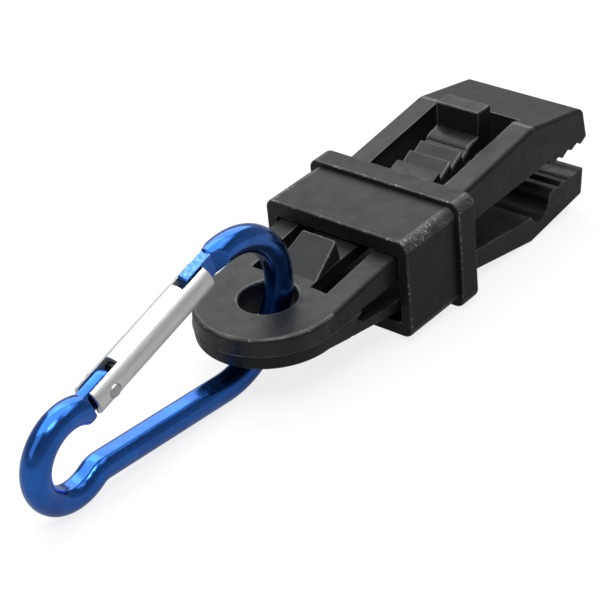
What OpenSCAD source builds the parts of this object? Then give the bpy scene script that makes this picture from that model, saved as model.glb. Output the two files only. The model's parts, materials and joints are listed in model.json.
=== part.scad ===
// Tarp clip with a snap hook in its eye. All sizes are in millimetres, and angles are in degrees.
// The clip is drawn in a frame of its own: its origin is the centre of the eye hole on the mould
// seam, +X points to the jaws and +Z is up. The hook is drawn flat in its own plane. Both are then
// laid on a table, which the hook touches with both bows and the clip with the heel of its lower jaw.

/* [Clip body] */
// Width of the clip body
body_w = 26.2; // [24:0.2:30]
// Diameter of the eye hole
eye_d = 10.2; // [9.6:0.1:11]
// Height of the eye's top above the seam
eye_top = 3.4; // [3:0.1:4]
// Depth of the eye's underside below the seam
eye_drop = 2.8; // [2.4:0.1:3.2]
// Extra depth of the underside beside the lower jaw's knuckle
eye_belly = 1; // [0.4:0.1:1.2]
// Radius of the eye's lower rim
eye_rim_r = 1.4; // [0.5:0.1:2]
// Chamfer at the hole's lower edge
hole_lead = 0.8; // [0.6:0.1:1]
// Chamfer at the hole's upper edge
hole_lip = 0.4; // [0.2:0.1:0.6]
// Distance from the eye's centre to where the rails start to rise
rise_x = 1.94; // [1:0.1:4]
// Slope of the rails
rail_slope = 6.76; // [6:0.1:7.5]
// Distance from the eye's centre to the top edge of the upper jaw
brow_x = 61.8; // [60:0.2:64]
// Length of the upper jaw from that edge to its tip
nose_len = 17.25; // [16:0.25:19]
// Fall of the upper jaw's top from that edge to the tip
nose_fall = 3.36; // [2:0.1:4.5]
// Height of the upper jaw's tip face
nose_tip_h = 6.5; // [5:0.1:7]
// Lean of the upper jaw's tip face
nose_lean = 1.15; // [0:0.05:2]
// Height of the upper arm's underside above the seam, at its root
arm_under = 0.5; // [0.2:0.1:0.8]
// Rise of that underside up to the teeth
arm_under_rise = 0.75; // [0:0.05:1.2]

/* [Window] */
// Width of the window between the rails
window_w = 16.7; // [15.6:0.1:18]
// Distance from the eye's centre to the window's root
window_x = 5.75; // [5.6:0.05:6]
// Length of the window past the top edge of the upper jaw
window_past = 1.8; // [0.5:0.1:3]
// Width of the tab that holds the tongue
tab_w = 9.4; // [8:0.1:12]

/* [Teeth] */
// Number of teeth in the upper jaw
upper_teeth = 4; // [2:1:6]
// Length of the upper row of teeth
tooth_row = 12.5; // [10:0.5:14]
// Height of the tallest tooth of the upper jaw
upper_tooth_h = 0.9; // [0.4:0.1:1.1]
// Number of teeth in the lower jaw
lower_teeth = 4; // [2:1:6]
// Height of the tallest tooth of the lower jaw
lower_tooth_h = 0.5; // [0.3:0.1:0.8]

/* [Lower jaw] */
// Distance from the eye's centre to the lower jaw's knuckle
knuckle_x = 6.9; // [6.7:0.05:7.1]
// Depth of the knuckle's centre below the seam
knuckle_drop = 2.6; // [2.5:0.05:2.8]
// Radius of the knuckle
knuckle_r = 1.35; // [1.2:0.05:1.4]
// Gap between the jaws at the root of the slot
slot_gap = 3; // [2.4:0.1:3.4]
// Thickness of the lower arm at its bend
arm_t = 4.25; // [3.5:0.1:4.4]
// Distance from the eye's centre to the lower arm's bend
bend_x = 41.5; // [38:0.5:45]
// Depth of the lower arm's top at its bend, below the seam
bend_drop = 5.35; // [5.2:0.05:5.6]
// Distance from the eye's centre to the middle of the cord groove
groove_x = 62.9; // [61:0.2:64]
// Radius of the cord groove
groove_r = 2.95; // [2:0.05:3.1]
// Depth of the groove's centre below the seam
groove_drop = 6.6; // [6.2:0.1:7]
// Distance from the eye's centre to the heel that stands on the table
heel_x = 60; // [56:0.5:62]
// Depth of the heel below the seam
heel_drop = 13.1; // [12.8:0.1:14]
// Gap between the tips of the teeth when the jaws are open
jaw_gap = 4.95; // [4.9:0.05:5.6]
// Depth of the lower jaw's tip face
jaw_tip_h = 5.45; // [4:0.1:7]

/* [Release tongue] */
// Width of the tongue
tongue_w = 9.6; // [8:0.1:12]
// Thickness of the tongue's strip
tongue_t = 2.3; // [1.8:0.1:2.6]
// Distance from the eye's centre to the tongue's knuckle
pin_x = 7; // [6.9:0.05:7.2]
// Radius of the tongue's knuckle
pin_r = 1.1; // [0.9:0.05:1.2]
// Distance from the eye's centre to the back face of the stop wedge
wedge_x = 14.7; // [13:0.1:14.7]
// Height of the stop wedge above the rails at its back face
wedge_h = 3.2; // [1:0.1:4]
// Length of the stop wedge
wedge_len = 7.5; // [5:0.1:7.5]
// Width of the stop wedge at its top
wedge_top_w = 7.4; // [5:0.2:8]
// Depth of the strip's top below the rails, at the stop wedge
strip_sink = 0.1; // [0:0.05:0.5]
// Number of ratchet teeth
catch_teeth = 3; // [1:1:4]
// Pitch of the ratchet teeth
catch_pitch = 3.45; // [3:0.05:3.8]
// Height of the ratchet teeth
catch_h = 1.3; // [0.6:0.1:1.6]
// Depth of the tooth crests below the rails
catch_sink = 0.65; // [0.6:0.05:1]
// Thickness of the thumb block, along the clip
thumb_t = 3.85; // [3:0.05:4.5]
// Height of the thumb block above the rails
thumb_h = 4.2; // [2:0.1:6]
// Gap between the thumb block and the window's end
thumb_gap = 3.75; // [1:0.05:4.5]

/* [Sliding collar] */
// Distance from the eye's centre to the near end of the collar
collar_x = 18.86; // [18.8:0.02:20]
// Length of the collar
collar_len = 18.6; // [16:0.2:19]
// Thickness of the collar's side walls
collar_wall = 2.2; // [1.6:0.1:2.6]
// Thickness of the collar's roof at its jaw end
roof_t = 0.87; // [0.8:0.01:1.6]
// Thickness of the collar's floor at its jaw end
floor_t = 1.25; // [0.8:0.05:1.3]
// Radius of the collar's outer corners
collar_r = 1.9; // [0.5:0.1:2.5]
// Length of the raised rim
rim_len = 4.63; // [2:0.05:8]
// Height of the raised rim
rim_h = 1.04; // [0.4:0.02:1.1]
// Width of the catch rib under the roof
catch_rib_w = 16; // [8:0.2:16]
// Depth of the catch rib below the rail tops
catch_rib_sink = 0.5; // [0.2:0.05:0.5]
// Length of the catch rib from the collar's jaw end
catch_rib_len = 7.2; // [3:0.1:7.2]

/* [Snap hook] */
// Diameter of the hook's bar
bar_d = 5; // [4.6:0.1:5.2]
// Centre-line radius of the large bow
bow_r = 13.07; // [12.9:0.01:13.2]
// Centre-line radius of the heel, where the large bow runs into the spine
heel_r = 14.68; // [14:0.02:15.2]
// Angle at which the bow becomes the heel, from the hook's long axis
heel_from = 134.84; // [130:0.5:140]
// Slope of the spine to the hook's long axis
spine_slope = 22.33; // [20:0.25:24]
// Distance between the centres of the two bows, along the hook
bows_x = 38.6; // [38:0.1:40]
// Distance between the centres of the two bows, across the hook
bows_y = 6.5; // [6:0.1:7]
// Centre-line radius of the small bow
small_r = 7.65; // [7.3:0.05:7.8]
// Centre-line radius of the bend between the spine and the small bow
neck_r = 4; // [3:0.25:6]
// Distance of the gate's axis from the centre of the large bow
gate_line = 12.2; // [12:0.05:12.4]
// Thickness of the nose and pivot tangs
tang_t = 2; // [1.8:0.1:2.3]
// Height of the nose tang
nose_h = 4.4; // [3:0.1:4.4]
// Distance of the nose tang's inner edge from the centre of the large bow
nose_inner = 10.85; // [10.7:0.05:10.9]
// Distance from the bow's centre to the tip of the nose tang, along the hook
nose_tip = 6.6; // [4:0.1:7.2]
// Radius of the cutter that left the hollow shoulders
cutter_r = 2.5; // [1.5:0.1:3.5]
// Distance from the bow's centre to the shoulders' foot, along the hook
shoulder_x = 0.3; // [-1:0.1:0.5]
// Lean of the hook away from upright
hook_lean = 3.29; // [0:0.1:5]
// Turn of the hook about the upright axis
hook_yaw = 0.72; // [0:0.1:2]

/* [Gate] */
// Outer diameter of the gate tube
gate_d = 5.6; // [5:0.1:5.8]
// Bore of the gate tube
gate_bore = 3.5; // [3.1:0.1:3.7]
// Distance from the bow's centre to the latch end of the gate, along the hook
gate_from = 2.7; // [2.4:0.1:3.2]
// Distance from the bow's centre to the gate's rivet, along the hook
rivet_x = 28; // [27.8:0.1:28.2]
// Length of the gate past its rivet
gate_past = 3.6; // [2:0.1:3.8]
// Depth of the latch slot from the gate's end
latch_len = 5.4; // [5.4:0.1:7]
// Thickness of the wall left under the latch slot
latch_wall = 0.9; // [0.5:0.05:0.9]
// Depth of the pivot slot from the gate's end
pivot_len = 7; // [6.7:0.1:7.6]
// Diameter of the rivet's shaft
rivet_d = 1.8; // [1.4:0.1:1.9]
// Diameter of the rivet's heads
rivet_head_d = 2.4; // [2:0.1:2.8]
// Height of the rivet's heads
rivet_head_h = 0.8; // [0.5:0.1:0.8]
// Distance between the inner faces of the rivet's heads
rivet_grip = 4.6; // [4.4:0.1:4.8]
// Distance from the rivet to the round end of the pivot tang
tang_end = 2.45; // [1.5:0.05:2.5]
// Wire diameter of the gate's spring
wire_d = 0.5; // [0.3:0.05:0.6]
// Number of turns of the gate's spring
spring_turns = 8; // [5:1:9]
// Length of the plunger
plunger_len = 5.2; // [4.6:0.1:6]
// Length of the closed end behind the latch slot
gate_plug = 3.4; // [2:0.1:4]

/* [Clearances] */
// Running clearance about the lower jaw's knuckle
knuckle_clear = 0.1; // [0.05:0.01:0.15]
// Running clearance about the tongue's knuckle
pin_clear = 0.08; // [0.05:0.01:0.12]
// Clearance between the collar and the body's sides
side_clear = 0.45; // [0.2:0.05:0.6]
// Clearance between the collar's roof and the rails
roof_clear = 0.28; // [0.15:0.01:0.4]
// Clearance between the collar's floor and the lower arm, at the collar's jaw end
floor_clear = 0.5; // [0.45:0.05:0.7]
// Gap between the tangs and the walls of their slots
tang_clear = 0.15; // [0.15:0.05:0.3]
// Clearance about the rivet's shaft and beside its heads
rivet_clear = 0.05; // [0.02:0.01:0.08]
// Clearance of the spring and plunger in the gate's bore
bore_clear = 0.15; // [0.1:0.01:0.2]
// Gap between the plunger and the pivot tang
plunger_gap = 0.2; // [0.1:0.05:0.3]

/* [Hidden] */

plastic_black = [0.16, 0.16, 0.17];
collar_black = [0.11, 0.11, 0.12];
anodised_blue = [0.05, 0.22, 0.68];
bright_aluminium = [0.86, 0.86, 0.87];
rivet_steel = [0.7, 0.7, 0.71];
spring_steel = [0.5, 0.5, 0.52];

round_fn = 96;
wire_fn = 6;
rings_a_turn = 12;
hump_steps = 8;

// The overrun of every cut past the faces that it leaves through
over = body_w;
// How far the bar swells where two stretches of it meet, and over how many degrees to each side
swell = bar_d / 100;
weld_turn = 2;

// Upper arm
rail_rise = tan(rail_slope);
function rail_top(x) = eye_top + max(0, x - rise_x) * rail_rise;
eye_r = body_w / 2;
nose_tip_x = brow_x + nose_len;
nose_top_z = rail_top(brow_x) - nose_fall;
nose_low_z = nose_top_z - nose_tip_h;
upper_row_x = nose_tip_x - tooth_row;
upper_row_z = arm_under + arm_under_rise;
window_end = brow_x + window_past;

// Slot between the arms: its root, its upper lip and its lower lip
upper_lip_share = 0.67;
lower_lip_share = 0.86;
slot_x = knuckle_x + slot_gap * upper_lip_share;
slot_low_x = knuckle_x + slot_gap * lower_lip_share;
slot_low_z = arm_under - slot_gap;
knuckle_z = -knuckle_drop;
seat_r = knuckle_r + knuckle_clear;
belly_x = knuckle_x - seat_r * cos(atan2(eye_belly, eye_drop));

// Teeth: the heights of a worn row as shares of the tallest tooth
tooth_shares = [0.8, 1, 0.75, 0.9, 0.85, 0.95];
crest_share = 0.4;
land_share = 1.25;
mouth_share = 0.4;
tip_back_share = 0.7;
upper_crest_z = nose_low_z - upper_tooth_h;
lower_row_x = groove_x + groove_r * land_share;
mouth_z = -groove_drop - groove_r * mouth_share;
lower_crest_z = upper_crest_z - jaw_gap;
lower_row_z = lower_crest_z - lower_tooth_h;
lower_tip_x = nose_tip_x - nose_lean;
lower_tip_back = nose_lean * tip_back_share;

// Release tongue
pin_z = rail_top(pin_x) - pin_r;
pin_seat_r = pin_r + pin_clear;
thumb_back = window_end - thumb_gap;
thumb_x = thumb_back - thumb_t;
thumb_z = rail_top(thumb_x) + thumb_h;
hump_r = thumb_t;
hump_gap_share = 0.4;
strip_share = 0.6;
heel_share = 0.25;
catch_end = thumb_x - hump_r * (1 + hump_gap_share);
catch_start = catch_end - catch_teeth * catch_pitch;
strip_end_z = rail_top(catch_start) - catch_sink - catch_h * strip_share;
thumb_low_z = rail_top(thumb_back) - catch_sink - tongue_t - catch_h / 2;

// Collar
collar_end = collar_x + collar_len;
bore_w = body_w + 2 * side_clear;
collar_w = bore_w + 2 * collar_wall;
roof_near = rail_top(collar_x) + roof_clear;
roof_far = rail_top(collar_end) + roof_clear;
bend_low_z = -bend_drop - arm_t;
arm_fall = (bend_low_z - knuckle_z + knuckle_r) / (bend_x - knuckle_x);
function arm_low(x) = knuckle_z - knuckle_r + (x - knuckle_x) * arm_fall;
floor_far = arm_low(collar_end) - floor_clear;
floor_share = 0.66;
floor_near = floor_far + collar_len * rail_rise * floor_share;
collar_top = roof_far + roof_t;
collar_low = floor_far - floor_t;

// Hook plane: x runs from the large bow to the small one, and y from the gate to the spine
bar_r = bar_d / 2;
heel_at = (bow_r - heel_r) * [cos(heel_from), sin(heel_from)];
small_at = [bows_x, -bows_y];
spine_from = 90 - spine_slope;
spine_start = heel_at + heel_r * [cos(spine_from), sin(spine_from)];
spine_dir = [cos(spine_slope), -sin(spine_slope)];
spine_out = [sin(spine_slope), cos(spine_slope)];
neck_gap = spine_start + neck_r * spine_out - small_at;
neck_along = neck_gap * spine_dir;
neck_across = neck_gap * spine_out;
spine_len = -neck_along - sqrt(pow(small_r + neck_r, 2) - pow(neck_across, 2));
spine_end = spine_start + spine_len * spine_dir;
neck_at = spine_end + neck_r * spine_out;
neck_to = atan2(small_at[1] - neck_at[1], small_at[0] - neck_at[0]);
neck_from = -90 - spine_slope;
small_from = neck_to + 180;
gate_r = gate_d / 2;
small_to = -180 + asin((gate_line - bows_y - gate_r / 3) / small_r);
gate_to = rivet_x + gate_past;
cheek_x = rivet_x + norm([gate_past, gate_r]) + tang_clear;
nose_root = shoulder_x + bar_r / 8;
nose_turn = asin(nose_root / bow_r);
latch_end = gate_from + latch_len;
pivot_from = gate_to - pivot_len;
slot_w = tang_t + 2 * tang_clear;
latch_floor = gate_line - gate_r + latch_wall;
bore_from = latch_end + gate_plug;
plunger_end = rivet_x - tang_end - plunger_gap;
plunger_from = plunger_end - plunger_len;
inner_r = gate_bore / 2 - bore_clear;
tang_in_share = 0.67;

// Gate spring
coil_r = inner_r - wire_d / 2;
coil_from = bore_from + wire_d;
coil_len = plunger_from - wire_d - coil_from;
coil_rings = spring_turns * rings_a_turn;
coil_lead = coil_len / spring_turns;
coil_gap = coil_lead * cos(atan2(coil_lead, 2 * PI * coil_r)) - wire_d;
echo(least_gap_between_turns = coil_gap);

// Rest on the table: the pitch of the hook and the tilt of the clip
bows_gap = small_at - heel_at;
hook_pitch = asin((heel_r - small_r) / norm(bows_gap)) - atan2(bows_gap[1], bows_gap[0]);
bow_depth = heel_at * [sin(hook_pitch), cos(hook_pitch)] + heel_r;
hook_z = bow_depth * cos(hook_lean) + bar_r;

// Centre of the large bow in the clip's frame: its bar runs through the middle of the eye hole
bow_in_eye = 10.66;
bow_over_eye = 6.48;
hook_y = -0.97;
heel_span = heel_x + bow_in_eye;
heel_fall = heel_drop + bow_over_eye;
rest_tilt = atan2(heel_fall, heel_span) - asin(hook_z / norm([heel_span, heel_fall]));
clip_lift = heel_drop * cos(rest_tilt) - heel_x * sin(rest_tilt);
hook_x = -bow_in_eye * cos(rest_tilt) - bow_over_eye * sin(rest_tilt);
long_x = -cos(hook_pitch) * cos(hook_yaw) - sin(hook_pitch) * sin(hook_lean) * sin(hook_yaw);
cross_x = sin(hook_pitch) * cos(hook_yaw) - cos(hook_pitch) * sin(hook_lean) * sin(hook_yaw);
far_left = hook_x + small_at * [long_x, cross_x] - small_r * norm([long_x, cross_x]) - bar_r;
far_right = nose_tip_x * cos(rest_tilt) - nose_low_z * sin(rest_tilt);
centre_x = (far_left + far_right) / 2;

// Placing

module on_table() {
    translate([-centre_x, 0, clip_lift]) rotate([0, -rest_tilt, 0]) children();
}

module in_hook() {
    translate([hook_x - centre_x, hook_y, hook_z])
        rotate([hook_lean, 0, hook_yaw]) rotate([0, -hook_pitch, 0]) rotate([90, 180, 0]) children();
}

// A side outline, given as x and z, drawn out to a width across the clip
module side(width) {
    rotate([90, 0, 0]) linear_extrude(height = width, center = true) children();
}

// A rod across the clip
module across(radius, width, x, z) {
    translate([x, 0, z]) rotate([90, 0, 0])
        cylinder(r = radius, h = width, center = true, $fn = round_fn);
}

// A block from one corner to the opposite one
module block(low, high) {
    translate(low) cube(high - low);
}

// Clip body

// A row of teeth along x from the first base point, with crests a signed height off the base
function teeth(x, z, length, count, height) = [
    for (i = [0:count - 1], part = [0:1])
        [x + length / count * (i + (part == 0 ? crest_share : 1)),
         z + (part == 0 ? height * tooth_shares[i] : 0)]
];

module arm_outline() {
    polygon(concat(
        [[-eye_r, -eye_drop], [-eye_r, eye_top], [rise_x, eye_top],
         [brow_x, rail_top(brow_x)], [nose_tip_x - nose_lean, nose_top_z], [nose_tip_x, nose_low_z]],
        [for (i = [2 * upper_teeth - 2:-1:0])
            teeth(upper_row_x, nose_low_z, tooth_row, upper_teeth, -upper_tooth_h)[i]],
        [[upper_row_x, upper_row_z], [slot_x, arm_under], [knuckle_x, knuckle_z + knuckle_r],
         [knuckle_x, -eye_drop - eye_belly], [belly_x, -eye_drop - eye_belly], [0, -eye_drop]]));
}

// The eye's plan and its rounded lower rim
module eye_envelope() {
    rim_z = -eye_drop + eye_rim_r;
    head_z = nose_low_z + over;
    rotate_extrude($fn = round_fn) {
        square([eye_r - eye_rim_r, head_z]);
        translate([0, rim_z]) square([eye_r, head_z]);
        translate([0, -eye_drop]) square([eye_r - eye_rim_r, eye_drop]);
        translate([eye_r - eye_rim_r, rim_z]) circle(r = eye_rim_r, $fn = round_fn);
    }
    block([0, -eye_r, -eye_drop - eye_belly], [nose_tip_x, eye_r, head_z]);
}

module eye_hole() {
    translate([0, 0, -over / 2]) cylinder(d = eye_d, h = over, $fn = round_fn);
    translate([0, 0, -eye_drop - hole_lead])
        cylinder(r1 = eye_d / 2 + 2 * hole_lead, r2 = eye_d / 2, h = 2 * hole_lead, $fn = round_fn);
    translate([0, 0, eye_top - hole_lip])
        cylinder(r1 = eye_d / 2, r2 = eye_d / 2 + 2 * hole_lip, h = 2 * hole_lip, $fn = round_fn);
}

module clip_body() {
    color(plastic_black) on_table() difference() {
        intersection() {
            side(body_w) arm_outline();
            eye_envelope();
        }
        eye_hole();
        block([window_x, -window_w / 2, -over], [pin_x, -tab_w / 2, over]);
        block([window_x, tab_w / 2, -over], [pin_x, window_w / 2, over]);
        block([pin_x, -window_w / 2, arm_under - slot_gap], [window_end, window_w / 2, over]);
        across(seat_r, body_w + over, knuckle_x, knuckle_z);
        across(pin_seat_r, tab_w + over, pin_x, pin_z);
    }
}

// Lower jaw

module lower_jaw() {
    color(plastic_black) on_table() difference() {
        union() {
            across(knuckle_r, body_w, knuckle_x, knuckle_z);
            side(body_w) polygon(concat(
                [[knuckle_x, knuckle_z + knuckle_r], [slot_low_x, slot_low_z],
                 [bend_x, -bend_drop],
                 [groove_x - groove_r, mouth_z],
                 [groove_x + groove_r, mouth_z],
                 [groove_x + groove_r, -groove_drop],
                 [lower_row_x, lower_row_z]],
                teeth(lower_row_x, lower_row_z, lower_tip_x - lower_row_x, lower_teeth,
                    lower_tooth_h),
                [[lower_tip_x - lower_tip_back, lower_row_z - jaw_tip_h],
                 [heel_x, -heel_drop], [bend_x, bend_low_z],
                 [knuckle_x, knuckle_z - knuckle_r]]));
        }
        across(groove_r, body_w + over, groove_x, -groove_drop);
    }
}

// Release tongue

// The outline of the strip with its ratchet teeth, its hump and its thumb block
module tongue_outline() {
    polygon(concat(
        [[pin_x, pin_z + pin_r], [wedge_x, rail_top(wedge_x) - strip_sink],
         [catch_start, strip_end_z]],
        [for (i = [1:catch_teeth], part = [0:1]) let (x = catch_start + i * catch_pitch)
            [x + part * catch_h * heel_share, rail_top(x) - catch_sink - part * catch_h]],
        [for (i = [0:hump_steps]) let (turn = 90 * i / hump_steps)
            [thumb_x - hump_r * cos(turn),
             rail_top(thumb_x) - catch_sink - catch_h * (1 - sin(turn))]],
        [[thumb_x, thumb_z], [thumb_back, thumb_z],
         [thumb_back, thumb_low_z],
         [catch_start, strip_end_z - tongue_t],
         [wedge_x, rail_top(wedge_x) - strip_sink - tongue_t],
         [pin_x, pin_z - pin_r]]));
}

module stop_wedge() {
    low_z = rail_top(wedge_x - wedge_len) - strip_sink;
    high_z = rail_top(wedge_x) + wedge_h;
    intersection() {
        side(tongue_w) polygon([
            [wedge_x - wedge_len, low_z], [wedge_x, high_z],
            [wedge_x, rail_top(wedge_x) - strip_sink - tongue_t / 2],
            [wedge_x - wedge_len, low_z - tongue_t / 2]]);
        translate([wedge_x - wedge_len, 0, 0]) rotate([90, 0, 90])
            linear_extrude(height = wedge_len) polygon([
                [-tongue_w / 2, 0], [tongue_w / 2, 0], [tongue_w / 2, low_z],
                [wedge_top_w / 2, high_z], [-wedge_top_w / 2, high_z], [-tongue_w / 2, low_z]]);
    }
}

module release_tongue() {
    color(plastic_black) on_table() {
        across(pin_r, tongue_w, pin_x, pin_z);
        side(tongue_w) tongue_outline();
        stop_wedge();
    }
}

// Sliding collar

// A box along the clip with rounded long edges
module rounded_sleeve(x, length, width, low_z, high_z, radius) {
    translate([x, 0, 0]) rotate([90, 0, 90]) linear_extrude(height = length) {
        translate([-width / 2 + radius, low_z]) square([width - 2 * radius, high_z - low_z]);
        translate([-width / 2, low_z + radius]) square([width, high_z - low_z - 2 * radius]);
        for (y = [-1, 1], z = [low_z + radius, high_z - radius])
            translate([y * (width / 2 - radius), z]) circle(r = radius, $fn = round_fn);
    }
}

module slide_collar() {
    rib_x = collar_end - catch_rib_len;
    rib_low_z = rail_top(rib_x) - catch_rib_sink;
    rib_end_z = rail_top(collar_end) - catch_rib_sink;
    color(collar_black) on_table() {
        difference() {
            union() {
                rounded_sleeve(collar_x, collar_len, collar_w, collar_low, collar_top, collar_r);
                rounded_sleeve(collar_end - rim_len, rim_len, collar_w + 2 * rim_h,
                    collar_low - rim_h, collar_top + rim_h, collar_r);
            }
            side(bore_w) polygon([
                [collar_x, floor_near], [collar_x, roof_near],
                [collar_end, roof_far], [collar_end, floor_far]]);
        }
        side(catch_rib_w) polygon([
            [rib_x, rib_low_z], [rib_x, rail_top(rib_x) + roof_clear + roof_t / 2],
            [collar_end, roof_far + roof_t / 2], [collar_end, rib_end_z]]);
    }
}

// Snap hook

// A bent stretch of bar about a centre, from one angle to another
module bend(centre, radius, from, to) {
    translate([centre[0], centre[1], 0]) rotate([0, 0, min(from, to)])
        rotate_extrude(angle = abs(to - from), $fn = round_fn)
            translate([radius, 0]) circle(r = bar_r, $fn = round_fn);
}

// A straight stretch of bar between two points of the hook's plane
module stretch(from, to) {
    run = to - from;
    translate([from[0], from[1], 0]) rotate([0, 0, atan2(run[1], run[0])]) rotate([0, 90, 0])
        cylinder(r = bar_r, h = norm(run), $fn = round_fn);
}

// The weld at one end of a bend, given by its angle
module weld(centre, radius, at) {
    translate([centre[0], centre[1], 0]) rotate([0, 0, at - weld_turn])
        rotate_extrude(angle = 2 * weld_turn, $fn = round_fn)
            translate([radius, 0]) circle(r = bar_r + swell, $fn = round_fn);
}

// A flat tang, centred on the hook's plane
module tang(low, high) {
    translate([low[0], low[1], -tang_t / 2]) cube([high[0] - low[0], high[1] - low[1], tang_t]);
}

// What a round cutter takes off one side of the nose
module shoulder_cut(side_sign) {
    flat = side_sign * (tang_t / 2 + cutter_r);
    translate([shoulder_x, 0, flat]) rotate([90, 0, 0])
        cylinder(r = cutter_r, h = over, $fn = round_fn);
    translate([shoulder_x, -over, flat - cutter_r]) cube([over, over, 2 * cutter_r]);
}

module hook_body() {
    color(anodised_blue) in_hook() {
        difference() {
            bend([0, 0], bow_r, heel_from, 270 + nose_turn);
            shoulder_cut(1);
            shoulder_cut(-1);
        }
        tang([nose_root - bar_r / 2, -nose_inner - nose_h], [nose_tip, -nose_inner]);
        bend(heel_at, heel_r, spine_from, heel_from);
        stretch(spine_start, spine_end);
        bend(neck_at, neck_r, neck_from, neck_to);
        weld([0, 0], bow_r, heel_from);
        weld(heel_at, heel_r, spine_from);
        weld(neck_at, neck_r, neck_from);
        weld(neck_at, neck_r, neck_to);
        difference() {
            bend(small_at, small_r, small_from, small_to);
            translate([cheek_x - over, -gate_line - gate_d, -over / 2])
                cube([over, 2 * gate_d, over]);
        }
        difference() {
            union() {
                tang([rivet_x, -gate_line - tang_end],
                    [gate_to + bar_r, -gate_line + tang_end * tang_in_share]);
                translate([rivet_x, -gate_line, 0])
                    cylinder(r = tang_end, h = tang_t, center = true, $fn = round_fn);
            }
            translate([rivet_x, -gate_line, 0])
                cylinder(r = rivet_d / 2 + rivet_clear, h = over, center = true, $fn = round_fn);
        }
    }
}

// Gate

// A rod along the gate's axis
module gate_rod(radius, from, to) {
    translate([from, -gate_line, 0]) rotate([0, 90, 0])
        cylinder(r = radius, h = to - from, $fn = round_fn);
}

module gate_tube() {
    color(bright_aluminium) in_hook() difference() {
        gate_rod(gate_r, gate_from, gate_to);
        gate_rod(gate_bore / 2, bore_from, gate_to + over);
        translate([gate_from - over, -latch_floor - over, -slot_w / 2])
            cube([latch_len + over, over, slot_w]);
        translate([pivot_from, -gate_line - gate_r - over, -slot_w / 2])
            cube([pivot_len + over, 2 * (gate_r + over), slot_w]);
        translate([rivet_x, -gate_line, 0])
            cylinder(r = rivet_d / 2 + rivet_clear, h = over, center = true, $fn = round_fn);
        for (end = [-1, 1]) translate([rivet_x, -gate_line, end * (rivet_grip + over) / 2])
            cylinder(r = rivet_head_d / 2 + rivet_clear, h = over, center = true, $fn = round_fn);
    }
}

module gate_rivet() {
    color(rivet_steel) in_hook() translate([rivet_x, -gate_line, 0]) {
        cylinder(d = rivet_d, h = rivet_grip, center = true, $fn = round_fn);
        for (end = [-1, 1]) translate([0, 0, end * (rivet_grip + rivet_head_h) / 2])
            cylinder(d = rivet_head_d, h = rivet_head_h, center = true, $fn = round_fn);
    }
}

// Gate spring: one wire wound as an even coil along the gate's bore

function coil_point(ring, side_at) =
    let (turn = 360 * ring / rings_a_turn, reach = coil_r + wire_d / 2 * cos(side_at))
    [coil_from + coil_len * ring / coil_rings + wire_d / 2 * sin(side_at),
     -gate_line + reach * cos(turn), reach * sin(turn)];

module gate_spring() {
    points = [for (ring = [0:coil_rings], s = [0:wire_fn - 1]) coil_point(ring, 360 * s / wire_fn)];
    walls = [for (ring = [0:coil_rings - 1], s = [0:wire_fn - 1])
        let (a = ring * wire_fn + s, b = ring * wire_fn + (s + 1) % wire_fn)
        [a, b, b + wire_fn, a + wire_fn]];
    first_cap = [for (s = [wire_fn - 1:-1:0]) s];
    last_cap = [for (s = [0:wire_fn - 1]) coil_rings * wire_fn + s];
    color(spring_steel) in_hook()
        polyhedron(points = points, faces = concat(walls, [first_cap, last_cap]), convexity = 10);
}

module gate_plunger() {
    color(rivet_steel) in_hook() gate_rod(inner_r, plunger_from, plunger_end);
}

clip_body();
lower_jaw();
release_tongue();
slide_collar();
hook_body();
gate_tube();
gate_rivet();
gate_spring();
gate_plunger();
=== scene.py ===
"""A tarp clip with a snap hook through its eye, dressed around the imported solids.

The clip is modelled in millimetres with its origin at the centre of the eye hole on the mould
seam, +X to the jaws and +Z up. The hook is modelled flat: +X from the large bow to the small one,
+Y from the gate to the spine. Each finished piece is then laid on the table, in metres.
"""

import json
import logging
import math
from collections.abc import Callable, Iterator, Sequence
from contextlib import contextmanager
from dataclasses import dataclass, field
from enum import Enum

import bmesh
import bpy
from mathutils import Matrix, Vector

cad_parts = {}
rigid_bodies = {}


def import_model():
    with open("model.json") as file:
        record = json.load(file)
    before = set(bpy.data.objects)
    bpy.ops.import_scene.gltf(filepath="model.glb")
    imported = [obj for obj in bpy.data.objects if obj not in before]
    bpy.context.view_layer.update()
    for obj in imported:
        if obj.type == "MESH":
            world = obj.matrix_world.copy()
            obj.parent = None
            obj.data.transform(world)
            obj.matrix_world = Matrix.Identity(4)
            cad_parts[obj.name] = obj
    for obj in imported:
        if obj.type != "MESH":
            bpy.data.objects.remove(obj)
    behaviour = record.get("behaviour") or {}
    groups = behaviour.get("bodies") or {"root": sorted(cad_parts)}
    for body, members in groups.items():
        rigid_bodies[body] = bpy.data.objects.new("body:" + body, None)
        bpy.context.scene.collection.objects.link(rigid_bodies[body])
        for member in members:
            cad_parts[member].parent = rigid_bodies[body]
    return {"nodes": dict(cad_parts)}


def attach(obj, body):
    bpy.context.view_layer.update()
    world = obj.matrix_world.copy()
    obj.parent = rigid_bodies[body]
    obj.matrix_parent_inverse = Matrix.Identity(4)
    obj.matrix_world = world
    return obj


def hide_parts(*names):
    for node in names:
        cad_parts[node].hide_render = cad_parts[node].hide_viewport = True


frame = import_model()

Piece = bpy.types.Object
Socket = bpy.types.NodeSocket
Pair = tuple[float, float]
Point = tuple[float, float, float]
Colour = tuple[float, float, float]
Test = Callable[[Vector], bool]

MM = 0.001  # metres to a millimetre
TINY = 0.02  # a gap or an overlap too small to see
NEAR = 0.1  # how far off something may lie and still count as being there
WELD = 0.0005  # points of the hook nearer than this are one
BELOW, ABOVE = -9, 19  # levels that clear the whole upper arm
SHARP = 40  # degrees, more than between the facets of a round shape
# The second finish is lighter: on the plastic it is partly real edge wear and partly a painted
# highlight along edges, the seam and the eye's rim; on the hook it is the milled metal, and a
# painted highlight on the milled edges.
PLAIN, WORN_AND_HIGHLIGHT, RUBBED = range(3)  # the numbers of a piece's finishes


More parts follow.
